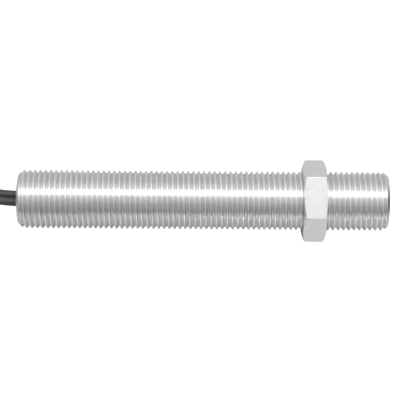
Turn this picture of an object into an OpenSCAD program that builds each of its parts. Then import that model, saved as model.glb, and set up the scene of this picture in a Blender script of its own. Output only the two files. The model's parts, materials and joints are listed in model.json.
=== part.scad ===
// Passive magnetic proximity sensor: a threaded barrel with one jam nut and two flying leads.
// Millimetres. The barrel lies along X, the centre of the sensing face is the origin,
// and +X points out of the sensing face. The nut stands on one of its flats.

/* [Barrel] */
// Length of the threaded barrel
barrel_len = 98.4; // [96:0.1:130]
// Major diameter of the thread
thread_d = 15.875; // [15.8:0.005:16]
// Threads per inch
threads_per_inch = 18; // [16:1:20]
// Length of the chamfer at the sensing face
front_chamfer = 1.3; // [0.9:0.05:1.6]
// Radius of the sensing face inside its chamfer
front_face_r = 7; // [6.6:0.05:7.2]
// Length of the 45 degree chamfer at the rear end
rear_chamfer = 1.3; // [0.9:0.05:1.6]
// Radius of the bore that holds the inner pieces
bore_r = 5.6; // [5.6:0.05:6]
// Thickness of the wall behind the sensing face
front_wall = 1.2; // [1:0.1:1.6]
// Radius of the opening in the sensing face
window_r = 3.2; // [3:0.05:3.6]

/* [Jam nut] */
// Width across the flats
nut_flats = 19.05; // [19:0.05:22]
// Thickness of the nut
nut_len = 6.35; // [5:0.05:8]
// Distance from the sensing face back to the nut's front face
nut_setback = 16.4; // [4:0.1:60]
// Radius of the flat face inside the corner chamfer
nut_face_r = 9.15; // [9:0.05:9.5]
// Depth of the chamfer at the corners
nut_chamfer = 0.65; // [0.4:0.05:1]

/* [Coil and magnet] */
// Radius of the pole piece's rod
pole_r = 2.375; // [2:0.025:2.5]
// Length of the pole piece's rod, from the sensing face
pole_len = 25; // [20:0.5:26]
// Radius of the pole piece's head
pole_head_r = 4.4; // [4:0.05:4.4]
// Outer radius of the winding
winding_r = 4.9; // [4.5:0.05:4.9]
// Radius of the magnet
magnet_r = 4.5; // [4:0.05:4.5]
// Length of the magnet
magnet_len = 20; // [10:0.5:20]

/* [Leads] */
// Outer diameter of a lead
lead_d = 2.3; // [2:0.05:2.3]
// Diameter of a lead's conductor
conductor_d = 1; // [0.8:0.05:1.1]
// Length of the stripped and tinned end
tinned_len = 6; // [4:0.5:8]
// How far the potting stops short of the barrel's rear end
potting_recess = 1; // [0.5:0.1:2]

/* [Hank] */
// Length of the hank between the centres of its round ends
hank_run = 44; // [40:1:46]
// Radius of the outer turn, at the middle of the lead
outer_turn_r = 10; // [9.8:0.1:10.2]
// Radius of the inner turn, at the middle of the lead
inner_turn_r = 7.55; // [7.3:0.05:7.8]
// How far the tie draws each side in
waist_draw = 4; // [3:0.1:4.2]
// Width of the tie's strap
tie_w = 2.5; // [2:0.1:3]
// Thickness of the tie's strap
tie_t = 0.8; // [0.6:0.05:0.9]

/* [Hidden] */
$fn = 72;

// Space between pieces that touch, and between the nut and the thread's crests
gap = 0.05;
// How far a cutting shape runs past the face that it cuts
over = 1;

// Thread: unified form with a flat crest and a flat root
thread_r = thread_d / 2;
pitch = 25.4 / threads_per_inch;
thread_depth = 0.61343 * pitch;
root_r = thread_r - thread_depth;
crest_flat = pitch / 8;
flank = thread_depth * tan(30);
thread_turns = ceil(barrel_len / pitch);

// Nut
floor_z = -nut_flats / 2;
nut_corner_r = nut_flats / 2 / cos(30);
nut_bore_r = thread_r + 0.31;
nut_bore_chamfer = 0.4;
nut_thread_len = nut_len - 2;

// Coil
flange_t = 1;
flange_r = bore_r - 0.2;
spool_r = pole_r + 0.725;
bobbin_front = -front_wall - 2 * gap;
bobbin_back = -pole_len + 2 * gap;
winding_front = bobbin_front - flange_t - gap;
winding_back = bobbin_back + flange_t + gap;
tape_t = 0.2;
pole_head_len = 2;
pole_back = -pole_len - pole_head_len;

// Magnet, its sleeve, and the pad behind them
magnet_front = pole_back - 2 * gap;
magnet_back = magnet_front - magnet_len;
sleeve_r = bore_r - 2 * gap;
pad_t = 1.3;
pad_front = magnet_back - gap;
pad_back = pad_front - pad_t;

// Terminals: disc, pins, and the enamelled wires that come back from the winding
disc_t = 1.4;
disc_front = pad_back - gap;
disc_back = disc_front - disc_t;
pin_r = 0.45;
pin_back = disc_front - 7;
wire_r = 0.12;
wire_tip_r = 0.1;
wire_at_r = winding_r - wire_r;
wire_hole_r = 0.25;
wire_back = disc_back - 0.6;

// Solder joints and the sleeves over them
conductor_r = conductor_d / 2;
solder_r = 0.9;
solder_len = 3;
joint_sleeve_front = pin_back + 2;
joint_sleeve_back = pin_back - 7;
joint_sleeve_t = 0.2;

// Leads: the two lie side by side, lead a at +Y and below lead b
lead_r = lead_d / 2;
pair_y = 1;
pair_z = 0.6;
pair_r = norm([pair_y, pair_z]);
rear_x = -barrel_len;
potting_back = rear_x + potting_recess;
potting_front = disc_back - 1.6;
lead_sides = 8;

// Routes of the free leads, measured from the centre of the barrel's rear end
lead_a_route = [
    [1, 1, -0.6], [-2, 1.1, -0.6], [-5, 1.4, -0.9], [-8, 1.9, -1.7], [-11, 2.7, -3.1],
    [-14, 3.7, -4.8], [-17, 4.9, -6.4], [-20, 6.1, -7.6], [-23, 7.3, -8.2], [-26, 8.4, -8.35],
    [-29, 9.2, -8.35], [-32, 9.8, -8.35], [-35, 10, -8.35]
];
lead_b_route = [
    [1, -1, 0.6], [-2, -0.9, 0.6], [-5, -0.6, 0.5], [-8, -0.1, 0], [-11, 0.8, -1],
    [-14, 2, -2.4], [-17, 3.4, -3.8], [-20, 5.1, -4.9], [-23, 6.6, -5.6], [-26, 8, -5.9],
    [-29, 9.1, -6], [-32, 9.8, -6], [-35, 10, -6]
];
// Tails of the leads, from the tie to the stripped ends inside the hank
tail_a_route = [
    [-54.5, -3.5, -7.8], [-51, -3.4, -8.1], [-47, -3.3, -8.3], [-43, -3.1, -8.35],
    [-39, -3, -8.35], [-36.5, -3, -8.35]
];
tail_b_route = [
    [-54.5, -3.4, -5.4], [-51, -2.7, -5.7], [-47, -1.5, -6.6], [-43, -0.3, -7.7],
    [-39, 0.3, -8.25], [-36.5, 0.4, -8.35]
];

// Hank: both leads lie in it, one on the other, in an outer and an inner turn
hank_near_x = rear_x - 35;
hank_mid_x = hank_near_x - hank_run / 2;
hank_h = 2 * lead_d + gap;
waist_flat = 4;
waist_w = 2 * (outer_turn_r - waist_draw + lead_r);
tie_gap_h = hank_h + gap;
tie_head = [4.6, 4.4, 2.4];
tie_head_y = 3;

// Turns a shape that is built along Z so that it lies along X
module along_x() {
    rotate([0, 90, 0])
        children();
}

// Solid cylinder along X between two places
module rod(r, from_x, to_x) {
    translate([min(from_x, to_x), 0, 0])
        along_x()
            cylinder(r = r, h = abs(to_x - from_x));
}

// Tube along X between two places
module pipe(outer_r, inner_r, from_x, to_x) {
    difference() {
        rod(outer_r, from_x, to_x);
        rod(inner_r, min(from_x, to_x) - over, max(from_x, to_x) + over);
    }
}

// Places its children on lead a (side = 1) or on lead b (side = -1)
module at_lead(side) {
    translate([0, side * pair_y, -side * pair_z])
        children();
}

// Places its children on the radial line through a lead, at a distance from the barrel's axis
module at_wire(side, r) {
    translate([0, side * pair_y, -side * pair_z] * r / pair_r)
        children();
}

// Half profile of the threaded rod: one crest and one root for each turn
function thread_profile() = concat(
    [[0, 0]],
    [for (i = [0:thread_turns - 1], p = [
        [thread_r, i * pitch],
        [thread_r, i * pitch + crest_flat],
        [root_r, i * pitch + crest_flat + flank],
        [root_r, (i + 1) * pitch - flank]
    ]) p],
    [[thread_r, thread_turns * pitch], [0, thread_turns * pitch]]
);

// The barrel's full diameter, with a 45 degree chamfer at the rear and a flatter one in front
module barrel_envelope() {
    rotate_extrude()
        polygon([
            [0, 0], [thread_r - rear_chamfer, 0], [thread_r, rear_chamfer],
            [thread_r, barrel_len - front_chamfer], [front_face_r, barrel_len], [0, barrel_len]
        ]);
}

module barrel() {
    color("silver")
        difference() {
            translate([rear_x, 0, 0])
                along_x()
                    intersection() {
                        rotate_extrude()
                            polygon(thread_profile());
                        barrel_envelope();
                    }
            rod(bore_r, rear_x - over, -front_wall);
            rod(window_r, -front_wall - over, over);
        }
}

// Outline that cuts the nut's corners back at both faces
module nut_envelope() {
    rotate_extrude()
        polygon([
            [0, 0], [nut_face_r, 0], [nut_corner_r, nut_chamfer],
            [nut_corner_r, nut_len - nut_chamfer], [nut_face_r, nut_len], [0, nut_len]
        ]);
}

// Bore of the nut, countersunk at both faces
module nut_bore() {
    mouth_r = nut_bore_r + nut_bore_chamfer;
    rotate_extrude()
        polygon([
            [0, -over], [mouth_r, -over], [mouth_r, 0], [nut_bore_r, nut_bore_chamfer],
            [nut_bore_r, nut_len - nut_bore_chamfer], [mouth_r, nut_len],
            [mouth_r, nut_len + over], [0, nut_len + over]
        ]);
}

module jam_nut() {
    color("gainsboro")
        translate([-nut_setback - nut_len, 0, 0])
            along_x()
                difference() {
                    intersection() {
                        rotate([0, 0, 30])
                            cylinder(r = nut_corner_r, h = nut_len, $fn = 6);
                        nut_envelope();
                    }
                    nut_bore();
                }
}

module nut_thread() {
    nut_mid = -nut_setback - nut_len / 2;
    color("lightgray")
        pipe(nut_bore_r - gap, thread_r + gap,
             nut_mid - nut_thread_len / 2, nut_mid + nut_thread_len / 2);
}

module pole_piece() {
    color("dimgray") {
        rod(pole_r, pole_back, 0);
        rod(pole_head_r, pole_back, -pole_len);
    }
}

module pole_seal() {
    color("darkslategray")
        pipe(window_r - gap, pole_r + gap, -front_wall, 0);
}

module coil_bobbin() {
    color("ivory")
        difference() {
            union() {
                rod(spool_r, bobbin_back, bobbin_front);
                rod(flange_r, bobbin_front - flange_t, bobbin_front);
                rod(flange_r, bobbin_back, bobbin_back + flange_t);
            }
            rod(pole_r + gap, bobbin_back - over, bobbin_front + over);
            for (side = [-1, 1])
                at_wire(side, wire_at_r)
                    rod(wire_hole_r, bobbin_back - over, bobbin_back + flange_t + gap);
        }
}

module coil_winding() {
    color("peru")
        pipe(winding_r, spool_r + gap, winding_back, winding_front);
}

module coil_tape() {
    color("goldenrod")
        pipe(winding_r + gap + tape_t, winding_r + gap, winding_back, winding_front);
}

module magnet() {
    color("slategray")
        rod(magnet_r, magnet_back, magnet_front);
}

module magnet_sleeve() {
    color("white")
        difference() {
            pipe(sleeve_r, magnet_r + gap, magnet_back, bobbin_back - gap);
            for (side = [-1, 1])
                at_wire(side, wire_at_r)
                    rod(wire_hole_r, magnet_back - over, bobbin_back + over);
        }
}

module magnet_pad() {
    color("gray")
        difference() {
            rod(sleeve_r, pad_back, pad_front);
            for (side = [-1, 1])
                at_wire(side, wire_at_r)
                    rod(wire_hole_r, pad_back - over, pad_front + over);
        }
}

// Enamelled wire from the back of the winding, past the disc and in to its pin
module coil_wire(side) {
    inner_end = pair_r + pin_r + gap;
    color("darkorange") {
        at_wire(side, wire_at_r)
            rod(wire_r, wire_back - wire_r, winding_back);
        at_wire(side, inner_end)
            translate([wire_back, 0, 0])
                rotate([atan2(side * pair_y, side * pair_z), 0, 0])
                    mirror([0, 0, 1])
                        cylinder(r = wire_tip_r, h = wire_at_r - inner_end);
    }
}

module coil_wire_a() {
    coil_wire(1);
}

module coil_wire_b() {
    coil_wire(-1);
}

module terminal_disc() {
    color("darkgreen")
        difference() {
            rod(flange_r, disc_back, disc_front);
            for (side = [-1, 1]) {
                at_lead(side)
                    rod(pin_r + gap / 2, disc_back - over, disc_front + over);
                at_wire(side, wire_at_r)
                    rod(wire_hole_r, disc_back - over, disc_front + over);
            }
        }
}

module terminal_pin(side) {
    color("khaki")
        at_lead(side)
            rod(pin_r, pin_back, disc_front);
}

module terminal_pin_a() {
    terminal_pin(1);
}

module terminal_pin_b() {
    terminal_pin(-1);
}

// Bead of solder over the end of a pin and the end of a conductor
module solder_joint(side) {
    taper = 0.8;
    color("lightsteelblue")
        at_lead(side)
            translate([pin_back - solder_len / 2, 0, 0])
                along_x()
                    difference() {
                        rotate_extrude()
                            polygon([
                                [0, 0], [conductor_r + 0.1, 0], [solder_r, taper],
                                [solder_r, solder_len - taper], [conductor_r + 0.1, solder_len],
                                [0, solder_len]
                            ]);
                        translate([0, 0, -over])
                            cylinder(r = conductor_r + gap / 2, h = solder_len + 2 * over);
                    }
}

module solder_joint_a() {
    solder_joint(1);
}

module solder_joint_b() {
    solder_joint(-1);
}

module joint_sleeve(side) {
    color("crimson")
        at_lead(side)
            pipe(lead_r, lead_r - joint_sleeve_t, joint_sleeve_back, joint_sleeve_front);
}

module joint_sleeve_a() {
    joint_sleeve(1);
}

module joint_sleeve_b() {
    joint_sleeve(-1);
}

module conductor(side) {
    color("orange")
        at_lead(side)
            rod(conductor_r, potting_back, pin_back - gap);
}

module conductor_a() {
    conductor(1);
}

module conductor_b() {
    conductor(-1);
}

module lead_inner(side) {
    color("black")
        at_lead(side)
            pipe(lead_r, conductor_r + gap / 2, potting_back, joint_sleeve_back - gap);
}

module lead_inner_a() {
    lead_inner(1);
}

module lead_inner_b() {
    lead_inner(-1);
}

module potting() {
    color([0.12, 0.12, 0.13])
        difference() {
            rod(bore_r - gap, potting_back, potting_front);
            for (side = [-1, 1])
                at_lead(side)
                    rod(lead_r + gap, potting_back - over, potting_front + over);
        }
}

// Direction of a route at one of its points
function unit(v) = v / norm(v);
function route_way(p, i) = unit(p[min(i + 1, len(p) - 1)] - p[max(i - 1, 0)]);

// Ring of points round a route's point, square to the route; a free end is cut square to X
function route_ring(p, i, r, n) =
    let (way = i == 0 ? [sign(p[1].x - p[0].x), 0, 0] : route_way(p, i),
         side = unit(cross(way, [0, 0, 1])),
         up = cross(side, way))
    [for (k = [0:n - 1]) p[i] + r * (cos(360 * (k + 0.5) / n) * side + sin(360 * (k + 0.5) / n) * up)];

// Closed tube swept along a route
module tube_along(p, r, n) {
    last = len(p) - 1;
    points = [for (i = [0:last], q = route_ring(p, i, r, n)) q];
    sides = [for (i = [0:last - 1], k = [0:n - 1])
        [i * n + k, i * n + (k + 1) % n, (i + 1) * n + (k + 1) % n, (i + 1) * n + k]];
    caps = [[for (k = [n - 1:-1:0]) k], [for (k = [0:n - 1]) last * n + k]];
    polyhedron(points = points, faces = concat(sides, caps));
}

// Stretch of lead along a route that starts from the barrel's rear end
module free_lead(route) {
    color("black")
        translate([rear_x, 0, 0])
            tube_along(route, lead_r, lead_sides);
}

module lead_a() {
    free_lead(lead_a_route);
}

module lead_b() {
    free_lead(lead_b_route);
}

module lead_tail_a() {
    free_lead(tail_a_route);
}

module lead_tail_b() {
    free_lead(tail_b_route);
}

// Outline with two round ends and a waist, from the near end back
module waisted_outline(end_r, waist_r) {
    near = (hank_run - waist_flat) / 2;
    far = (hank_run + waist_flat) / 2;
    for (x = [0, -hank_run])
        translate([x, 0])
            circle(r = end_r);
    polygon([
        [0, end_r], [-near, waist_r], [-far, waist_r], [-hank_run, end_r],
        [-hank_run, -end_r], [-far, -waist_r], [-near, -waist_r], [0, -end_r]
    ]);
}

// Ring of both leads' turns, raised at the waist, where the strap passes under it
module lead_hank() {
    outer_r = outer_turn_r + lead_r;
    inner_r = inner_turn_r - lead_r;
    hump = 10;
    color([0.1, 0.1, 0.1])
        translate([hank_near_x, 0, floor_z])
            difference() {
                union() {
                    linear_extrude(hank_h)
                        waisted_outline(outer_r, waist_w / 2);
                    translate([-hank_run / 2 - hump / 2, -waist_w / 2, over])
                        cube([hump, waist_w, hank_h + tie_t - over]);
                }
                translate([0, 0, -over])
                    linear_extrude(hank_h + tie_t + 2 * over)
                        waisted_outline(inner_r, inner_r - waist_draw);
                translate([-hank_run / 2 - tie_w / 2 - gap, -waist_w, -over])
                    cube([tie_w + 2 * gap, 2 * waist_w, over + tie_t + gap]);
            }
}

// Strap round the hank's waist, with its head on top
module hank_tie() {
    inner_w = waist_w + 2 * gap;
    outer_w = inner_w + 2 * tie_t;
    top = tie_t + tie_gap_h + tie_t;
    color("whitesmoke")
        translate([hank_mid_x, 0, floor_z]) {
            difference() {
                translate([-tie_w / 2, -outer_w / 2, 0])
                    cube([tie_w, outer_w, top]);
                translate([-tie_w / 2 - over, -inner_w / 2, tie_t])
                    cube([tie_w + 2 * over, inner_w, tie_gap_h]);
            }
            translate([-tie_head.x / 2, tie_head_y - tie_head.y / 2, top - gap])
                cube(tie_head);
        }
}

// Bare conductor at the end of a tail, in line with the tail's last stretch
module tinned_end(route) {
    last = route[len(route) - 1];
    way = route_way(route, len(route) - 1);
    color("lightgray")
        translate([rear_x, 0, 0])
            translate(last)
                rotate([0, 90 - asin(way.z), atan2(way.y, way.x)])
                    cylinder(r = conductor_r, h = tinned_len);
}

module tinned_end_a() {
    tinned_end(tail_a_route);
}

module tinned_end_b() {
    tinned_end(tail_b_route);
}

barrel();
jam_nut();
nut_thread();
pole_piece();
pole_seal();
coil_bobbin();
coil_winding();
coil_tape();
magnet();
magnet_sleeve();
magnet_pad();
coil_wire_a();
coil_wire_b();
terminal_disc();
terminal_pin_a();
terminal_pin_b();
solder_joint_a();
solder_joint_b();
joint_sleeve_a();
joint_sleeve_b();
conductor_a();
conductor_b();
lead_inner_a();
lead_inner_b();
potting();
lead_a();
lead_b();
lead_hank();
hank_tie();
lead_tail_a();
lead_tail_b();
tinned_end_a();
tinned_end_b();
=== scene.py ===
"""Looks of the threaded-barrel proximity sensor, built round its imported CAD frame.

Metres, in the CAD's own frame: the barrel lies along X, the centre of its sensing face is the
origin, +X points out of that face, and +Z is up. Angles round the barrel start at +Y and turn
towards +Z, so that a right-hand thread moves along +X as its angle grows."""
import cmath
import json
import math

import bmesh
import bpy
import numpy as np
from mathutils import Matrix, Vector, geometry


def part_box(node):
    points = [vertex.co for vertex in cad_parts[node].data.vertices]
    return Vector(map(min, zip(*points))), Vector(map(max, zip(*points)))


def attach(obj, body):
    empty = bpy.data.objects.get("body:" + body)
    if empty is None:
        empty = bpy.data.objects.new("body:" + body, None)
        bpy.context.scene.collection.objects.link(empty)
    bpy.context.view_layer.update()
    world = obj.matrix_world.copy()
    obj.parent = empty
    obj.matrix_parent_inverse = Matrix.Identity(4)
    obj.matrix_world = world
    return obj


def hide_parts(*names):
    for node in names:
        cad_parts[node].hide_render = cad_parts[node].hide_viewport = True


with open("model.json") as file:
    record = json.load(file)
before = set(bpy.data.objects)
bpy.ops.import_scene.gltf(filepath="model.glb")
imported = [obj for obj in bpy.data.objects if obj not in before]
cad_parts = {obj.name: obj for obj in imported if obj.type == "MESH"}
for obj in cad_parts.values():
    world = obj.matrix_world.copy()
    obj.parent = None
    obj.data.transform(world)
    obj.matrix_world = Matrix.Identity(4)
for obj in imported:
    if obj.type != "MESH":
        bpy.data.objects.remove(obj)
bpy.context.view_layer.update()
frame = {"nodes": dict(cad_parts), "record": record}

MM = 0.001
UP_WAY = Vector((0, 0, 1))
ROUND_STEPS = 96  # steps round the barrel and the parts turned to fit it

# ---------------------------------------------------------------- sizes
mounts = {m["name"]: m for m in frame["record"]["mounts"]}
barrel_lo, barrel_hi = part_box("barrel")
nut_lo, nut_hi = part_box("jam_nut")
potting_lo, potting_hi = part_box("potting")
seal_lo, seal_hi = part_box("pole_seal")
pole_lo, pole_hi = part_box("pole_piece")
tie_lo, tie_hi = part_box("hank_tie")

FLOOR_Z = nut_lo.z
REAR_X = barrel_lo.x
FACE_X = barrel_hi.x

# Barrel: 5/8-18 thread with rounded roots
THREAD_R = mounts["barrel_thread"]["dims"]["r_mm"] * MM
PITCH = 25.4 / 18 * MM
ROOT_ROUND = 0.144 * PITCH
THREAD_DEPTH = 0.61343 * PITCH
CREST_ROUND = 0.06 * MM
CREST_SHAVE = 0.12 * MM  # how far the crests fall short of the full diameter
GROOVE_SHADE_SHARE = 0.82  # painted shade: the base colour at a groove's root, as a share of a crest's
CREST_AT = -0.683 * PITCH  # a crest of the barrel on the +Y side, measured from the sensing face
FRONT_CHAMFER = 1.3 * MM
FRONT_FACE_R = 7.0 * MM
REAR_CHAMFER = 1.3 * MM
BORE_R = potting_hi.y + 0.05 * MM
FRONT_WALL = 1.2 * MM
WINDOW_R = seal_hi.y + 0.05 * MM
POLE_ROD_R = 2.375 * MM

# Jam nut
NUT_FLATS = nut_hi.z - nut_lo.z
NUT_FACE_R = 9.15 * MM
NUT_CHAMFER = 0.65 * MM
NUT_CORNER_R = NUT_FLATS / 2 / math.cos(math.radians(30))
NUT_MOUTH_R = THREAD_R + 0.71 * MM
NUT_CLEARANCE = 0.08 * MM

# Leads and the hank that their unseen length is tied in
LEAD_D = 2.3 * MM
CONDUCTOR_D = 1.0 * MM
TINNED_LENGTH = 6.0 * MM

# The same points as in the CAD source: millimetres from the centre of the barrel's rear end
LEAD_A_ROUTE = [
    (1, 1, -0.6), (-2, 1.1, -0.6), (-5, 1.4, -0.9), (-8, 1.9, -1.7), (-11, 2.7, -3.1),
    (-14, 3.7, -4.8), (-17, 4.9, -6.4), (-20, 6.1, -7.6), (-23, 7.3, -8.2), (-26, 8.4, -8.35),
    (-29, 9.2, -8.35), (-32, 9.8, -8.35), (-35, 10, -8.35),
]
LEAD_B_ROUTE = [
    (1, -1, 0.6), (-2, -0.9, 0.6), (-5, -0.6, 0.5), (-8, -0.1, 0), (-11, 0.8, -1),
    (-14, 2, -2.4), (-17, 3.4, -3.8), (-20, 5.1, -4.9), (-23, 6.6, -5.6), (-26, 8, -5.9),
    (-29, 9.1, -6), (-32, 9.8, -6), (-35, 10, -6),
]
TAIL_A_ROUTE = [
    (-54.5, -3.5, -7.8), (-51, -3.4, -8.1), (-47, -3.3, -8.3), (-43, -3.1, -8.35),
    (-39, -3, -8.35), (-36.5, -3, -8.35),
]
TAIL_B_ROUTE = [
    (-54.5, -3.4, -5.4), (-51, -2.7, -5.7), (-47, -1.5, -6.6), (-43, -0.3, -7.7),
    (-39, 0.3, -8.25), (-36.5, 0.4, -8.35),
]
HANK_NEAR = -35.0  # centre of the hank's near round end
HANK_RUN = 44.0
OUTER_TURN = 10.0
INNER_TURN = 7.55
WAIST_DRAW = 4.0  # how far the tie draws each side in
WAIST_LIFT = 0.8  # how far the tie's strap lifts the leads


# ---------------------------------------------------------------- mesh helpers
def add_mesh(name, points, faces, material, smooth=True):
    """A mesh object, with its doubled points joined and its faces turned outwards."""
    mesh = bpy.data.meshes.new(name)
    mesh.from_pydata([tuple(p) for p in points], [], faces)
    work = bmesh.new()
    work.from_mesh(mesh)
    bmesh.ops.remove_doubles(work, verts=work.verts, dist=1e-6)
    bmesh.ops.dissolve_degenerate(work, edges=work.edges, dist=1e-7)
    bmesh.ops.recalc_face_normals(work, faces=work.faces)
    for face in work.faces:
        face.smooth = smooth
    work.to_mesh(mesh)
    work.free()
    mesh.materials.append(material)
    thing = bpy.data.objects.new(name, mesh)
    bpy.context.scene.collection.objects.link(thing)
    return thing


def even_shading(thing):
    """Lets the large faces set the shading, so that only the rounded edges take a gradient."""
    weighted = thing.modifiers.new("even_shading", "WEIGHTED_NORMAL")
    weighted.mode = "FACE_AREA"
    weighted.weight = 100
    return thing


def round_x(x, radius, angle):
    """The point at a radius and an angle round the X axis."""
    return (x, radius * math.cos(angle), radius * math.sin(angle))


def steps(count):
    """Equal angles once round."""
    return [2 * math.pi * k / count for k in range(count)]


def rings_between(first, count, rings, closed_ends=False):
    """Faces between rings of count points each, with numbers from first on."""
    faces = []
    for ring in range(rings - 1):
        low = first + ring * count
        for k in range(count):
            after = (k + 1) % count
            faces.append((low + k, low + after, low + count + after, low + count + k))
    if closed_ends:
        last = first + (rings - 1) * count
        faces.append(tuple(first + k for k in reversed(range(count))))
        faces.append(tuple(last + k for k in range(count)))
    return faces


def turned(name, outline, material, closed=True):
    """A part turned about the X axis from its outline of (x, radius) points."""
    angles = steps(ROUND_STEPS)
    path = outline + [outline[0]] if closed else outline
    points = [round_x(x, r, a) for x, r in path for a in angles]
    faces = rings_between(0, ROUND_STEPS, len(path))
    return even_shading(add_mesh(name, points, faces, material))


# ---------------------------------------------------------------- material helpers
NOISE_LOW, NOISE_HIGH = 0.3, 0.7  # most of a noise node's values lie between these


def add_node(tree, kind, inputs=None, **settings):
    """A shader node with its inputs linked to sockets or set to values."""
    made = tree.nodes.new(kind)
    for key, value in settings.items():
        setattr(made, key, value)
    for socket, value in (inputs or {}).items():
        if isinstance(value, bpy.types.NodeSocket):
            tree.links.new(value, made.inputs[socket])
        else:
            made.inputs[socket].default_value = value
    return made


def level_ramp(tree, place, levels, low, high):
    """Levels from 0 to 1 given by (place, level) pairs, their places from low to high."""
    share = add_node(
        tree, "ShaderNodeMapRange", {"Value": place, "From Min": low, "From Max": high}
    )
    ramp = add_node(tree, "ShaderNodeValToRGB", {"Fac": share.outputs["Result"]})
    stops = ramp.color_ramp.elements
    stops.remove(stops[-1])
    for count, (at, level) in enumerate(levels):
        position = (at - low) / (high - low)
        stop = stops.new(position) if count else stops[0]
        stop.position = position
        stop.color = (level, level, level, 1)
    return ramp.outputs["Color"]


class Surface:
    """A material round one Principled shader, with helpers that add the nodes before it."""

    def __init__(self, name, **fixed):
        self.material = bpy.data.materials.new(name)
        self.material.use_nodes = True
        self.tree = self.material.node_tree
        self.tree.nodes.clear()
        out = self.tree.nodes.new("ShaderNodeOutputMaterial")
        self.shader = self.tree.nodes.new("ShaderNodeBsdfPrincipled")
        self.tree.links.new(self.shader.outputs["BSDF"], out.inputs["Surface"])
        for socket, value in fixed.items():
            self.shader.inputs[socket.replace("_", " ")].default_value = value

    def node(self, kind, inputs=None, **settings):
        return add_node(self.tree, kind, inputs, **settings)

    def noise(self, per_mm, detail=3.0, rough=0.55, warp=0.0):
        """Noise with that many features a millimetre along X, Y and Z."""
        place = self.node("ShaderNodeTexCoord").outputs["Object"]
        scaled = self.node(
            "ShaderNodeMapping",
            {"Vector": place, "Scale": [n / MM for n in per_mm]},
        ).outputs["Vector"]
        return self.node(
            "ShaderNodeTexNoise",
            {"Vector": scaled, "Scale": 1.0, "Detail": detail, "Roughness": rough,
             "Distortion": warp},
        ).outputs["Fac"]

    def colours(self, value, dark, light):
        """Sets the base colour from dark at low values of the noise to light at high ones."""
        ramp = self.node("ShaderNodeValToRGB", {"Fac": value})
        ramp.color_ramp.elements[0].position = NOISE_LOW
        ramp.color_ramp.elements[1].position = NOISE_HIGH
        ramp.color_ramp.elements[0].color = (*dark, 1)
        ramp.color_ramp.elements[1].color = (*light, 1)
        self.tree.links.new(ramp.outputs["Color"], self.shader.inputs["Base Color"])

    def roughness(self, value, low, high):
        """Sets the roughness from low at low values of the noise to high at high ones."""
        spread = self.node(
            "ShaderNodeMapRange",
            {"Value": value, "From Min": NOISE_LOW, "From Max": NOISE_HIGH,
             "To Min": low, "To Max": high},
        )
        self.tree.links.new(spread.outputs["Result"], self.shader.inputs["Roughness"])

    def dimmed(self, share):
        """Scales the base colour by a value between 0 and 1."""
        socket = self.shader.inputs["Base Color"]
        before = socket.links[0].from_socket
        result = self.node("ShaderNodeVectorMath", {0: before, "Scale": share}, operation="SCALE")
        self.tree.links.new(result.outputs["Vector"], socket)

    def bumps(self, *layers):
        """Relief from (height, depth in millimetres) pairs, one on the other."""
        normal = None
        for height, depth in layers:
            inputs = {"Height": height, "Strength": 1.0, "Distance": depth * MM}
            if normal is not None:
                inputs["Normal"] = normal
            normal = self.node("ShaderNodeBump", inputs).outputs["Normal"]
        self.tree.links.new(normal, self.shader.inputs["Normal"])


def moulded(name, dark, light, low, high, grain=6.0, depth=0.01, **fixed):
    """Plastic, rubber, resin or board: fine even grain in colour, gloss and relief."""
    made = Surface(name, **fixed)
    fine = made.noise((grain, grain, grain))
    broad = made.noise((0.3, 0.3, 0.3), detail=2.0)
    made.colours(broad, dark, light)
    made.roughness(fine, low, high)
    made.bumps((fine, depth))
    return made.material


def metal(name, dark, light, low, high, per_mm, depth=0.004, **fixed):
    """Metal with its grain drawn out along the directions where per_mm is small."""
    made = Surface(name, Metallic=1.0, **fixed)
    fine = made.noise(per_mm, detail=4.0)
    broad = made.noise((0.25, 0.25, 0.25), detail=2.0)
    made.colours(broad, dark, light)
    made.roughness(fine, low, high)
    made.bumps((fine, depth))
    return made.material


# ---------------------------------------------------------------- materials
def barrel_metal():
    """Bright turned steel with the fine rings of the cutting, and painted shade that darkens the
    thread's grooves.
    """
    made = Surface("barrel_metal", Metallic=1.0)
    place = made.node("ShaderNodeTexCoord").outputs["Object"]
    across = made.node("ShaderNodeVectorMath", {0: place, 1: (0, 1, 1)}, operation="MULTIPLY")
    radius = made.node(
        "ShaderNodeVectorMath", {0: across.outputs["Vector"]}, operation="LENGTH"
    ).outputs["Value"]
    # painted shade: the base colour falls from the crests to the groove roots
    root_r, crest_r = THREAD_R - THREAD_DEPTH, THREAD_R - CREST_SHAVE
    levels = [(root_r - 0.2 * MM, 1.0), (root_r, GROOVE_SHADE_SHARE), (crest_r, 1.0)]
    rings = made.noise((14.0, 0.25, 0.25), detail=5.0, rough=0.6)
    patches = made.noise((0.5, 0.5, 0.5), detail=3.0)
    made.colours(patches, (0.865, 0.87, 0.875), (0.92, 0.925, 0.93))
    made.dimmed(level_ramp(made.tree, radius, levels, 0, THREAD_R))
    made.roughness(rings, 0.27, 0.31)
    made.bumps((rings, 0.0004))
    return made.material


def nut_metal():
    """Bright steel with a satin, finely scratched finish."""
    made = Surface("nut_metal", Metallic=1.0)
    scratches = made.noise((1.2, 9.0, 9.0), detail=5.0, rough=0.65, warp=0.6)
    patches = made.noise((0.6, 0.6, 0.6), detail=4.0)
    made.colours(patches, (0.92, 0.92, 0.915), (0.98, 0.98, 0.975))
    made.roughness(scratches, 0.2, 0.3)
    made.bumps((scratches, 0.006), (patches, 0.02))
    return made.material


def lead_insulation():
    """Black extruded insulation: faint lengthwise drawing and a little dust."""
    made = Surface("lead_insulation", Specular_IOR_Level=0.5)
    fine = made.noise((3.0, 8.0, 8.0), detail=3.0)
    dust = made.noise((1.5, 1.5, 1.5), detail=6.0, rough=0.7)
    made.colours(dust, (0.04, 0.04, 0.041), (0.084, 0.084, 0.087))
    made.roughness(fine, 0.28, 0.38)
    made.bumps((fine, 0.008))
    return made.material


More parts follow.
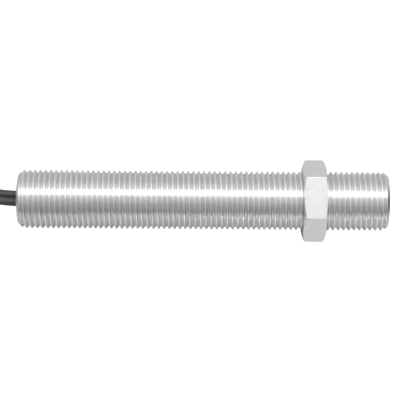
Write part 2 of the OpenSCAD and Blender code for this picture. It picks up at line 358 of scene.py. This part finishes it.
MATERIALS = {
    "barrel_metal": barrel_metal(),
    "nut_metal": nut_metal(),
    "lead_insulation": lead_insulation(),
    "pole_iron": metal(
        "pole_iron", (0.3, 0.3, 0.31), (0.4, 0.4, 0.41), 0.28, 0.42, (9.0, 9.0, 0.6), 0.005
    ),
    "magnet_alloy": metal(
        "magnet_alloy", (0.3, 0.3, 0.32), (0.42, 0.42, 0.44), 0.4, 0.6, (5.0, 5.0, 5.0), 0.02
    ),
    "winding_copper": metal(
        "winding_copper", (0.55, 0.2, 0.08), (0.72, 0.33, 0.15), 0.22, 0.4, (5.0, 0.2, 0.2), 0.03,
        Coat_Weight=0.6, Coat_Roughness=0.1,
    ),
    "pin_brass": metal(
        "pin_brass", (0.66, 0.52, 0.25), (0.78, 0.66, 0.38), 0.2, 0.34, (8.0, 1.0, 1.0)
    ),
    "solder": metal(
        "solder", (0.55, 0.56, 0.58), (0.68, 0.69, 0.72), 0.22, 0.5, (4.0, 4.0, 4.0), 0.02
    ),
    "tinned_copper": metal(
        "tinned_copper", (0.58, 0.57, 0.55), (0.72, 0.71, 0.69), 0.22, 0.42, (3.0, 6.0, 6.0), 0.01
    ),
    "seal_resin": moulded(
        "seal_resin", (0.012, 0.014, 0.02), (0.024, 0.027, 0.036), 0.2, 0.34, 2.0, 0.006
    ),
    "potting_resin": moulded(
        "potting_resin", (0.01, 0.01, 0.011), (0.022, 0.022, 0.024), 0.16, 0.34, 1.5, 0.02
    ),
    "bobbin_nylon": moulded(
        "bobbin_nylon", (0.72, 0.68, 0.58), (0.84, 0.8, 0.7), 0.4, 0.55, Subsurface_Weight=0.2
    ),
    "coil_tape": moulded("coil_tape", (0.7, 0.42, 0.05), (0.84, 0.56, 0.1), 0.18, 0.3, 3.0, 0.01),
    "sleeve_plastic": moulded("sleeve_plastic", (0.78, 0.78, 0.76), (0.86, 0.86, 0.84), 0.4, 0.55),
    "pad_felt": moulded("pad_felt", (0.3, 0.3, 0.3), (0.44, 0.44, 0.43), 0.85, 0.98, 9.0, 0.08),
    "disc_board": moulded("disc_board", (0.08, 0.2, 0.1), (0.14, 0.28, 0.15), 0.4, 0.6, 8.0, 0.01),
    "joint_sleeve": moulded("joint_sleeve", (0.4, 0.03, 0.03), (0.52, 0.05, 0.05), 0.35, 0.5),
    "tie_nylon": moulded(
        "tie_nylon", (0.74, 0.74, 0.7), (0.84, 0.84, 0.8), 0.32, 0.48, 5.0, 0.008,
        Subsurface_Weight=0.15, Subsurface_Scale=0.001,
    ),
}


# ---------------------------------------------------------------- camera
CAMERA_DISTANCE = 383 * MM
CAMERA_ELEVATION = math.radians(85.4)
CAMERA_ROLL = math.radians(0.45)
CAMERA_SENSOR = 36  # width in millimetres
CAMERA_LENS = 128.9  # focal length in millimetres
LOOK_AT = Vector((-49.97 * MM, 0, 0))


def add_camera():
    """Looks down on the barrel's middle, a little from the -Y side."""
    back = Vector((0, -math.cos(CAMERA_ELEVATION), math.sin(CAMERA_ELEVATION)))
    data = bpy.data.cameras.new("camera")
    data.sensor_width = CAMERA_SENSOR
    data.lens = CAMERA_LENS
    data.clip_start = 0.01
    camera = bpy.data.objects.new("camera", data)
    camera.location = LOOK_AT + back * CAMERA_DISTANCE
    level = (-back).to_track_quat("-Z", "Y").to_matrix()
    camera.rotation_euler = (level @ Matrix.Rotation(CAMERA_ROLL, 3, "Z")).to_euler()
    bpy.context.scene.collection.objects.link(camera)
    bpy.context.scene.camera = camera


add_camera()


# ---------------------------------------------------------------- leads
def waist(share):
    """How far the tie draws a run in: 0 at the hank's round ends and 1 half way."""
    return (1 - math.cos(2 * math.pi * share)) / 2


def run(side, radius, layer, shares):
    """One side of a turn, from the near round end at share 0 to the far one at share 1."""
    return [
        (HANK_NEAR - HANK_RUN * s, side * (radius - WAIST_DRAW * waist(s)),
         layer + WAIST_LIFT * waist(s))
        for s in shares
    ]


def bend(centre, from_r, to_r, from_deg, to_deg, layer):
    """A half turn round one end of the hank."""
    count = 14
    points = []
    for k in range(1, count):
        share = k / count
        angle = math.radians(from_deg + (to_deg - from_deg) * share)
        radius = from_r + (to_r - from_r) * (share - math.sin(2 * math.pi * share) / 2 / math.pi)
        points.append((centre + radius * math.cos(angle), radius * math.sin(angle), layer))
    return points


def hank_turns(layer):
    """From the end of the free lead, once round outside, and once round inside to the tie."""
    far = HANK_NEAR - HANK_RUN
    out = [k / 16 for k in range(1, 17)]
    back = [1 - k / 16 for k in range(17)]
    return [
        *run(1, OUTER_TURN, layer, out),
        *bend(far, OUTER_TURN, OUTER_TURN, 90, 270, layer),
        *run(-1, OUTER_TURN, layer, back),
        *bend(HANK_NEAR, OUTER_TURN, INNER_TURN, -90, 90, layer),
        *run(1, INNER_TURN, layer, [0, *out]),
        *bend(far, INNER_TURN, INNER_TURN, 90, 270, layer),
        *run(-1, INNER_TURN, layer, back[:9]),
    ]


def smooth_line(points, spacing):
    """Points close together on a smooth line through the given ones."""
    p = np.array(points, float)
    p = np.vstack([2 * p[0] - p[1], p, 2 * p[-1] - p[-2]])
    line = []
    for before, start, end, after in zip(p, p[1:], p[2:], p[3:]):
        count = max(1, round(np.linalg.norm(end - start) / spacing))
        for t in np.arange(count) / count:
            line.append(0.5 * (2 * start + (end - before) * t
                               + (2 * before - 5 * start + 4 * end - after) * t**2
                               + (3 * start - before - 3 * end + after) * t**3))
    line.append(p[-2])
    return [Vector(((REAR_X / MM + x) * MM, y * MM, z * MM)) for x, y, z in line]


def add_lead(name, line):
    """A round lead along a line, with flat cut ends."""
    data = bpy.data.curves.new(name, "CURVE")
    data.dimensions = "3D"
    data.bevel_depth = LEAD_D / 2
    data.bevel_resolution = 6
    data.use_fill_caps = True
    spline = data.splines.new("POLY")
    spline.points.add(len(line) - 1)
    for point, place in zip(spline.points, line):
        point.co = (*place, 1)
    data.materials.append(MATERIALS["lead_insulation"])
    lead = bpy.data.objects.new(name, data)
    bpy.context.scene.collection.objects.link(lead)
    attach(lead, "barrel_assembly")
    return lead


def add_tinned_end(name, line):
    """The bare end of a lead: six twisted strands run together with tin."""
    start, way = line[-1], (line[-1] - line[-2]).normalized()
    side = way.cross(UP_WAY).normalized()
    over = side.cross(way)
    count, rings = 48, 40
    lay = 7 * MM  # length in which the strands twist once round
    points = []
    for ring in range(rings):
        along = ring / (rings - 1)
        tip = math.sqrt(max(0.0, 1 - max(0.0, (along - 0.93) / 0.07) ** 2))
        twist = along * TINNED_LENGTH / lay * 2 * math.pi
        for a in steps(count):
            strand = 0.88 + 0.12 * abs(math.cos(3 * (a - twist)))
            radius = CONDUCTOR_D / 2 * strand * max(tip, 0.15)
            across = side * math.cos(a) + over * math.sin(a)
            points.append(start + way * TINNED_LENGTH * along + across * radius)
    faces = rings_between(0, count, rings, closed_ends=True)
    end = add_mesh(name, points, faces, MATERIALS["tinned_copper"])
    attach(end, "barrel_assembly")
    return end


def add_leads():
    """Both leads whole, from the potting to their stripped ends."""
    made = {}
    for key, route, tail, side in (
        ("a", LEAD_A_ROUTE, TAIL_A_ROUTE, 1),
        ("b", LEAD_B_ROUTE, TAIL_B_ROUTE, -1),
    ):
        line = smooth_line([*route, *hank_turns(route[-1][2]), *tail], 0.6)
        lead = add_lead("flying_lead_" + key, line)
        end = add_tinned_end("bare_end_" + key, line)
        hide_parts("lead_" + key, "lead_hank", "lead_tail_" + key)
        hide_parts("tinned_end_" + key)
        made[key] = (lead, line[0], end)
    return made


leads = add_leads()


# ---------------------------------------------------------------- cable tie
def rounded_loop(half_w, low, high, radius):
    """Outline in (y, z) of a rectangle with round corners, anticlockwise from its lower right."""
    per_corner, per_side = 8, 60
    corners = [
        (half_w - radius, low + radius, -90), (half_w - radius, high - radius, 0),
        (-half_w + radius, high - radius, 90), (-half_w + radius, low + radius, 180),
    ]
    loop = []
    for (y, z, start), (next_y, next_z, _) in zip(corners, corners[1:] + corners[:1]):
        arc = [math.radians(start + 90 * k / per_corner) for k in range(per_corner + 1)]
        loop += [(y + radius * math.cos(a), z + radius * math.sin(a)) for a in arc]
        end = (next_y + radius * math.cos(arc[-1]), next_z + radius * math.sin(arc[-1]))
        count = round(per_side * math.dist(loop[-1], end) / (2 * half_w))
        last = loop[-1]
        loop += [
            (last[0] + (end[0] - last[0]) * k / count, last[1] + (end[1] - last[1]) * k / count)
            for k in range(1, count)
        ]
    return loop


def add_tie():
    """A small nylon tie: toothed strap, head with its slot, and the trimmed end of the strap."""
    strap_w, strap_t = 2.5 * MM, 0.8 * MM
    mid_x = (tie_lo.x + tie_hi.x) / 2
    inner_half = tie_hi.y - strap_t
    strap_top = FLOOR_Z + 6.3 * MM
    inner = rounded_loop(inner_half, FLOOR_Z + strap_t, strap_top - strap_t, 1.2 * MM)
    points, faces = [], []
    count = len(inner)
    for k, (y, z) in enumerate(inner):
        before, after = Vector(inner[k - 1]), Vector(inner[(k + 1) % count])
        way = (after - before).normalized()
        out = Vector((way.y, -way.x))
        tooth = strap_t - (0.12 * MM if k % 2 else 0)
        edge = strap_t * 0.72
        section = [
            (-strap_w / 2, 0), (-strap_w / 2, edge), (-strap_w * 0.44, strap_t * 0.92),
            (-strap_w * 0.34, strap_t * 0.92), (-strap_w * 0.3, tooth), (strap_w * 0.3, tooth),
            (strap_w * 0.34, strap_t * 0.92), (strap_w * 0.44, strap_t * 0.92),
            (strap_w / 2, edge), (strap_w / 2, 0),
        ]
        points += [(mid_x + x, y + out.x * h, z + out.y * h) for x, h in section]
    n = len(section)
    for k in range(count):
        low, high = k * n, (k + 1) % count * n
        for i in range(n):
            j = (i + 1) % n
            faces.append((low + i, low + j, high + j, high + i))
    strap = add_mesh("tie_strap", points, faces, MATERIALS["tie_nylon"])

    head_x, head_y, head_h = 4.6 * MM, 4.4 * MM, 2.0 * MM
    centre = Vector((mid_x, 3 * MM, strap_top - 0.05 * MM))
    head = tie_head(centre, head_x, head_y, head_h, slot_x=2.7 * MM, slot_y=1.3 * MM)
    stub = tie_stub(centre + Vector((0, 0, head_h - 0.9 * MM)), strap_w * 0.94, 0.75 * MM, 1.3 * MM)
    for piece in (head, stub):
        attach(piece, "barrel_assembly")
    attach(strap, "barrel_assembly")
    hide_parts("hank_tie")
    return [strap, head, stub]


def tie_head(centre, size_x, size_y, height, slot_x, slot_y):
    """A block with round edges and a slot through it, where the strap comes out."""
    levels = [(0, 1.0), (height * 0.55, 1.0), (height * 0.85, 0.97), (height, 0.86)]
    count = 48
    points = []

    def squircle(a, half_x, half_y):
        c, s = math.cos(a), math.sin(a)
        power = 0.28
        return (
            half_x * math.copysign(abs(c) ** power, c),
            half_y * math.copysign(abs(s) ** power, s),
        )

    for z, share in levels:
        for a in steps(count):
            x, y = squircle(a, size_x / 2 * share, size_y / 2 * share)
            points.append(centre + Vector((x, y, z)))
    for z, share in ((height, 1.0), (height - 0.15 * MM, 0.94), (height - 1.2 * MM, 0.94)):
        for a in steps(count):
            x, y = squircle(a, slot_x / 2 * share, slot_y / 2 * share)
            points.append(centre + Vector((x, y, z)))
    faces = rings_between(0, count, len(levels) + 3, closed_ends=True)
    return even_shading(add_mesh("tie_head", points, faces, MATERIALS["tie_nylon"]))


def tie_stub(base, width, thick, height):
    """The trimmed end of the strap, standing a little out of the head."""
    half_x, half_y, soft = width / 2, thick / 2, 0.12 * MM
    outline = [
        (half_x - soft, -half_y), (half_x, -half_y + soft), (half_x, half_y - soft),
        (half_x - soft, half_y), (-half_x + soft, half_y), (-half_x, half_y - soft),
        (-half_x, -half_y + soft), (-half_x + soft, -half_y),
    ]
    points = []
    for z, share in ((0, 1.0), (height - soft, 1.0), (height, 0.93)):
        points += [base + Vector((x * share, y * share, z)) for x, y in outline]
    faces = rings_between(0, len(outline), 3, closed_ends=True)
    return even_shading(add_mesh("tie_end", points, faces, MATERIALS["tie_nylon"]))


tie = add_tie()


# ---------------------------------------------------------------- threads
def thread_turn():
    """One turn of the thread's outline, crest to crest: (along the axis, below full diameter)."""
    slope = math.tan(math.radians(30))
    half_crest = PITCH / 16 + CREST_SHAVE * slope
    corner = CREST_ROUND * slope
    side_drop = CREST_SHAVE + corner * math.sin(math.radians(60))
    crest = [
        (-half_crest - corner / 2, side_drop), (-half_crest + corner, CREST_SHAVE),
        (half_crest - corner, CREST_SHAVE), (half_crest + corner / 2, side_drop),
    ]
    root = [
        (PITCH / 2 + ROOT_ROUND * math.sin(a), THREAD_DEPTH - ROOT_ROUND * (1 - math.cos(a)))
        for a in (math.radians(d) for d in (-60, -30, 0, 30, 60))
    ]
    down = ((crest[-1][0] + root[0][0]) / 2, (crest[-1][1] + root[0][1]) / 2)
    up = (PITCH - down[0], down[1])
    return [*crest, down, *root, up]


def helix(angles, from_x, to_x, crest_at, radius_of):
    """Points and faces of a right-hand thread's skin between two planes.

    Each row follows the thread round, and the last row of angles joins the row one turn on. A row
    past an end stays on that end's plane, where radius_of gives the end's own radius."""
    outline = thread_turn()
    turns_before = math.ceil((crest_at - from_x) / PITCH) + 2
    turns = turns_before + math.ceil((to_x - crest_at) / PITCH) + 2
    rows = [
        (crest_at + (turn - turns_before) * PITCH + along, drop)
        for turn in range(turns) for along, drop in outline
    ]
    points = []
    for along, drop in rows:
        for angle in angles:
            x = min(max(along + PITCH * angle / 2 / math.pi, from_x), to_x)
            points.append(round_x(x, radius_of(x, drop), angle))
    count, per_turn = len(angles), len(outline)
    faces = []
    for row in range(len(rows) - 1):
        for k in range(count):
            if k + 1 < count:
                after, after_up = row * count + k + 1, (row + 1) * count + k + 1
            elif row + 1 + per_turn < len(rows):
                after, after_up = (row + per_turn) * count, (row + 1 + per_turn) * count
            else:
                continue
            faces.append((row * count + k, (row + 1) * count + k, after_up, after))
    return points, faces


def add_skin(points, faces, rings, angles):
    """Joins turned rings of (x, radius) to the thread's skin, at the same angles."""
    first = len(points)
    points += [round_x(x, r, a) for x, r in rings for a in angles]
    faces += rings_between(first, len(angles), len(rings))


def add_barrel():
    """The threaded tube, with its closed-in front face and its open rear end."""
    angles = steps(ROUND_STEPS)
    front_slope = (THREAD_R - FRONT_FACE_R) / FRONT_CHAMFER
    rear_r = THREAD_R - REAR_CHAMFER

    def radius_of(x, drop):
        front_cone = FRONT_FACE_R + (FACE_X - x) * front_slope
        rear_cone = rear_r + x - REAR_X
        return min(THREAD_R - drop, front_cone, rear_cone)

    points, faces = helix(angles, REAR_X, FACE_X, FACE_X + CREST_AT, radius_of)
    soft = 0.12 * MM
    add_skin(points, faces, [
        (REAR_X, rear_r), (REAR_X, BORE_R + soft), (REAR_X + soft, BORE_R),
        (FACE_X - FRONT_WALL, BORE_R), (FACE_X - FRONT_WALL, WINDOW_R),
        (FACE_X - soft / 2, WINDOW_R), (FACE_X, WINDOW_R + soft / 2), (FACE_X, FRONT_FACE_R),
    ], angles)
    barrel = even_shading(add_mesh("threaded_barrel", points, faces, MATERIALS["barrel_metal"]))
    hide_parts("barrel")
    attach(barrel, "barrel_assembly")


def hexagon(soft):
    """(angle, radius) round the nut, with corners rounded by soft; the first corner is at +Y.

    The points of a flat stand closer together near its corners, where the chamfer's edge bends."""
    half = NUT_FLATS / 2
    middle = (half - soft) / math.cos(math.radians(30))
    outline = []
    for corner in range(6):
        turn = math.radians(60 * corner)
        arc = [math.radians(d) for d in (-30, -15, 0, 15, 30)]
        edge = [
            complex(middle + soft * math.cos(a), soft * math.sin(a)) * cmath.rect(1, turn)
            for a in arc
        ]
        following = edge[0] * cmath.rect(1, math.radians(60))
        shares = (0.02, 0.06, 0.14, 0.26, 0.38, 0.5, 0.62, 0.74, 0.86, 0.94, 0.98)
        outline += edge + [edge[-1] + (following - edge[-1]) * s for s in shares]
    return sorted((math.atan2(p.imag, p.real) % (2 * math.pi), abs(p)) for p in outline)


def add_nut():
    """The jam nut: six flats, a chamfer on both faces, and the thread inside."""
    outline = hexagon(0.14 * MM)
    angles = [a for a, _ in outline]
    front, rear = nut_hi.x, nut_lo.x
    crest_at = FACE_X + CREST_AT

    def radius_of(x, drop):
        mouth = NUT_MOUTH_R - min(front - x, x - rear)
        return max(THREAD_R + NUT_CLEARANCE - drop, mouth)

    points, faces = helix(angles, rear, front, crest_at, radius_of)
    first = len(points)

    def add_ring(face, way, inner_r=None, share=None):
        """A ring at a radius on a face, or that share of the way down the corner chamfer."""
        for angle, radius in outline:
            depth = (radius - NUT_FACE_R) / (NUT_CORNER_R - NUT_FACE_R) * NUT_CHAMFER
            if share is None:
                inset, r = 0, inner_r
            elif share == 1:
                inset, r = depth + 0.1 * MM, radius
            else:
                inset, r = depth * share, NUT_FACE_R + (radius - NUT_FACE_R) * share
            points.append(round_x(face + way * inset, r, angle))

    face_rings = [
        {"inner_r": NUT_MOUTH_R}, {"inner_r": NUT_FACE_R - 0.1 * MM},
        {"share": 0.2}, {"share": 0.85}, {"share": 1},
    ]
    for ring in face_rings:
        add_ring(front, -1, **ring)
    for ring in reversed(face_rings):
        add_ring(rear, 1, **ring)
    faces += rings_between(first, len(angles), 2 * len(face_rings))
    nut = even_shading(add_mesh("hex_jam_nut", points, faces, MATERIALS["nut_metal"]))
    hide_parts("jam_nut", "nut_thread")
    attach(nut, "jam_nut")


add_barrel()
add_nut()


# ---------------------------------------------------------------- the barrel's two ends
def add_pole_piece():
    """Soft-iron rod with a head, its tip ground flush with the sensing face."""
    head_r = pole_hi.y
    head_x = pole_lo.x + 2 * MM
    soft = 0.1 * MM
    pole = turned("iron_pole_piece", [
        (FACE_X, 0), (FACE_X, POLE_ROD_R - soft), (FACE_X - soft, POLE_ROD_R),
        (head_x, POLE_ROD_R), (head_x, head_r - soft), (head_x - soft, head_r),
        (pole_lo.x + soft, head_r), (pole_lo.x, head_r - soft), (pole_lo.x, 0),
    ], MATERIALS["pole_iron"], closed=False)
    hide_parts("pole_piece")
    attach(pole, "barrel_assembly")


def add_pole_seal():
    """Resin ring round the pole piece, its face sunk a little as it set."""
    inner, outer, sink = POLE_ROD_R + 0.05 * MM, seal_hi.y, 0.1 * MM
    face = [
        (FACE_X - sink * math.sin(math.pi * k / 8) - 0.01 * MM, inner + (outer - inner) * k / 8)
        for k in range(9)
    ]
    seal = turned(
        "resin_seal", [*face, (seal_lo.x, outer), (seal_lo.x, inner)], MATERIALS["seal_resin"]
    )
    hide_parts("pole_seal")
    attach(seal, "barrel_assembly")


def add_potting():
    """Resin that fills the rear of the bore; it stands up a little at the wall and the leads."""
    wall_r, hole_r = potting_hi.y, LEAD_D / 2 + 0.02 * MM
    creep = 0.35 * MM  # how high the resin stands up, and how far from the wall
    centres = [(y * MM, z * MM) for _, y, z in (LEAD_A_ROUTE[0], LEAD_B_ROUTE[0])]

    def circle(centre, radius, count):
        return [
            Vector((centre[0] + radius * math.cos(a), centre[1] + radius * math.sin(a)))
            for a in steps(count)
        ]

    loops = [circle((0, 0), wall_r, ROUND_STEPS), *(circle(c, hole_r, 40) for c in centres)]
    flat, edges = [], []
    for loop in loops:
        first = len(flat)
        flat += loop
        edges += [(first + k, first + (k + 1) % len(loop)) for k in range(len(loop))]
    borders = list(edges)
    inner_rings = 13  # of points between the middle and the wall, so that the face can curve
    for ring in range(1, inner_rings + 1):
        radius = wall_r * ring / (inner_rings + 1.3)
        for p in circle((0, 0), radius, max(8, round(ROUND_STEPS * radius / wall_r))):
            if all(math.dist(p, c) > hole_r + 0.12 * MM for c in centres):
                flat.append(p)
    made = geometry.delaunay_2d_cdt([p * 1000 for p in flat], edges, [], 0, 1e-5)
    plan = [p / 1000 for p in made[0]]
    kept = [
        t for t in made[2]
        if all(math.dist(sum((plan[i] for i in t), Vector((0, 0))) / 3, c) > hole_r * 0.99
               for c in centres)
    ]

    def rise(p):
        at_wall = math.exp(-(wall_r - p.length) / creep)
        at_lead = sum(math.exp(-(math.dist(p, c) - hole_r) / (0.3 * MM)) for c in centres)
        return creep * min(1.0, at_wall + at_lead)

    rear = [(potting_lo.x + creep - rise(p), p.x, p.y) for p in plan]
    front = [(potting_hi.x, p.x, p.y) for p in plan]
    n = len(plan)
    faces = [tuple(t) for t in kept] + [tuple(n + i for i in reversed(t)) for t in kept]
    faces += [(a, b, n + b, n + a) for a, b in borders]
    potting = even_shading(
        add_mesh("potting_resin", rear + front, faces, MATERIALS["potting_resin"])
    )
    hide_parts("potting")
    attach(potting, "barrel_assembly")


add_pole_piece()
add_pole_seal()
add_potting()

# ---------------------------------------------------------------- CAD nodes that stay
slot_of = {part["node"]: part["material_slot"] for part in frame["record"]["subparts"]}
for name, node in frame["nodes"].items():
    node.data.materials.clear()
    node.data.materials.append(MATERIALS[slot_of[name]])


# ---------------------------------------------------------------- studio
# Light of the dome by the angle in degrees from overhead: negative towards -Y, positive towards +Y.
# A separate program solved these levels from the tones across the photograph's barrel. They were
# then rounded, and most were moved a little.
DOME_AROUND = [
    (-90, 0.1), (-75, 0.0), (-60, 0.03), (-45, 0.15), (-30, 0.12), (-15, 0.2), (0, 0.24),
    (12, 0.18), (22, 0.98), (32, 0.96), (44, 0.08), (58, 0.38), (74, 0.12), (90, 0.26),
]
# and its share towards the rear end (-1), straight across (0) and towards the sensing face (1)
DOME_ALONG = [
    (-1, 0.05), (-0.95, 0.1), (-0.88, 0.7), (-0.5, 0.9), (0, 1.0), (0.5, 1.0), (0.87, 0.85),
    (0.92, 0.1), (1, 0.0),
]
DOME_LIGHT = 3.43
TABLE_COLOUR = (0.62, 0.62, 0.62, 1)
TABLE_GLOW = 1.0


def add_floor():
    """A plain pale table top under the nut.

    It also glows white all over, but the glow shows only where the camera looks straight at the
    table, so it doesn't light the part from below."""
    half = 4.0
    corners = [(-half, -half), (half, -half), (half, half), (-half, half)]
    paper = Surface("table_paper", Roughness=0.9, Specular_IOR_Level=0.1)
    paper.shader.inputs["Base Color"].default_value = TABLE_COLOUR
    paper.shader.inputs["Emission Color"].default_value = (1, 1, 1, 1)
    seen = paper.node("ShaderNodeLightPath").outputs["Is Camera Ray"]
    glow = paper.node("ShaderNodeMath", {0: seen, 1: TABLE_GLOW}, operation="MULTIPLY")
    paper.tree.links.new(glow.outputs[0], paper.shader.inputs["Emission Strength"])
    floor = add_mesh(
        "table", [(x, y, FLOOR_Z) for x, y in corners], [(0, 1, 2, 3)], paper.material, False
    )


def softbox(name, tilt, distance, size_x, size_y, radiance, shift_x):
    """A soft rectangular lamp along the barrel, tilted from overhead towards +Y."""
    data = bpy.data.lights.new(name, "AREA")
    data.shape = "RECTANGLE"
    data.size = size_x
    data.size_y = size_y
    data.energy = radiance * math.pi * size_x * size_y
    lamp = bpy.data.objects.new(name, data)
    angle = math.radians(tilt)
    way = Vector((0, math.sin(angle), math.cos(angle)))
    lamp.location = LOOK_AT + way * distance + Vector((shift_x, 0, 0))
    lamp.rotation_euler = way.to_track_quat("Z", "X").to_euler()
    bpy.context.scene.collection.objects.link(lamp)


def add_world():
    """A soft studio dome, lit by the angle from overhead and by how far along the barrel."""
    world = bpy.data.worlds.new("studio")
    world.use_nodes = True
    tree = world.node_tree
    background = tree.nodes["Background"]
    looked_at = add_node(tree, "ShaderNodeTexCoord").outputs["Generated"]
    way = add_node(tree, "ShaderNodeSeparateXYZ", {0: looked_at}).outputs
    angle = add_node(tree, "ShaderNodeMath", {0: way["Y"], 1: way["Z"]}, operation="ARCTAN2")
    degrees = add_node(tree, "ShaderNodeMath", {0: angle.outputs[0]}, operation="DEGREES")
    around = level_ramp(tree, degrees.outputs[0], DOME_AROUND, -90, 90)
    along = level_ramp(tree, way["X"], DOME_ALONG, -1, 1)
    level = add_node(tree, "ShaderNodeMath", {0: along, 1: DOME_LIGHT}, operation="MULTIPLY")
    tree.links.new(around, background.inputs["Color"])
    tree.links.new(level.outputs[0], background.inputs["Strength"])
    bpy.context.scene.world = world


add_floor()
softbox("strip", tilt=-75, distance=1.2, size_x=0.6, size_y=0.16, radiance=6.3, shift_x=0.27)
add_world()
bpy.context.scene.view_settings.view_transform = "Standard"
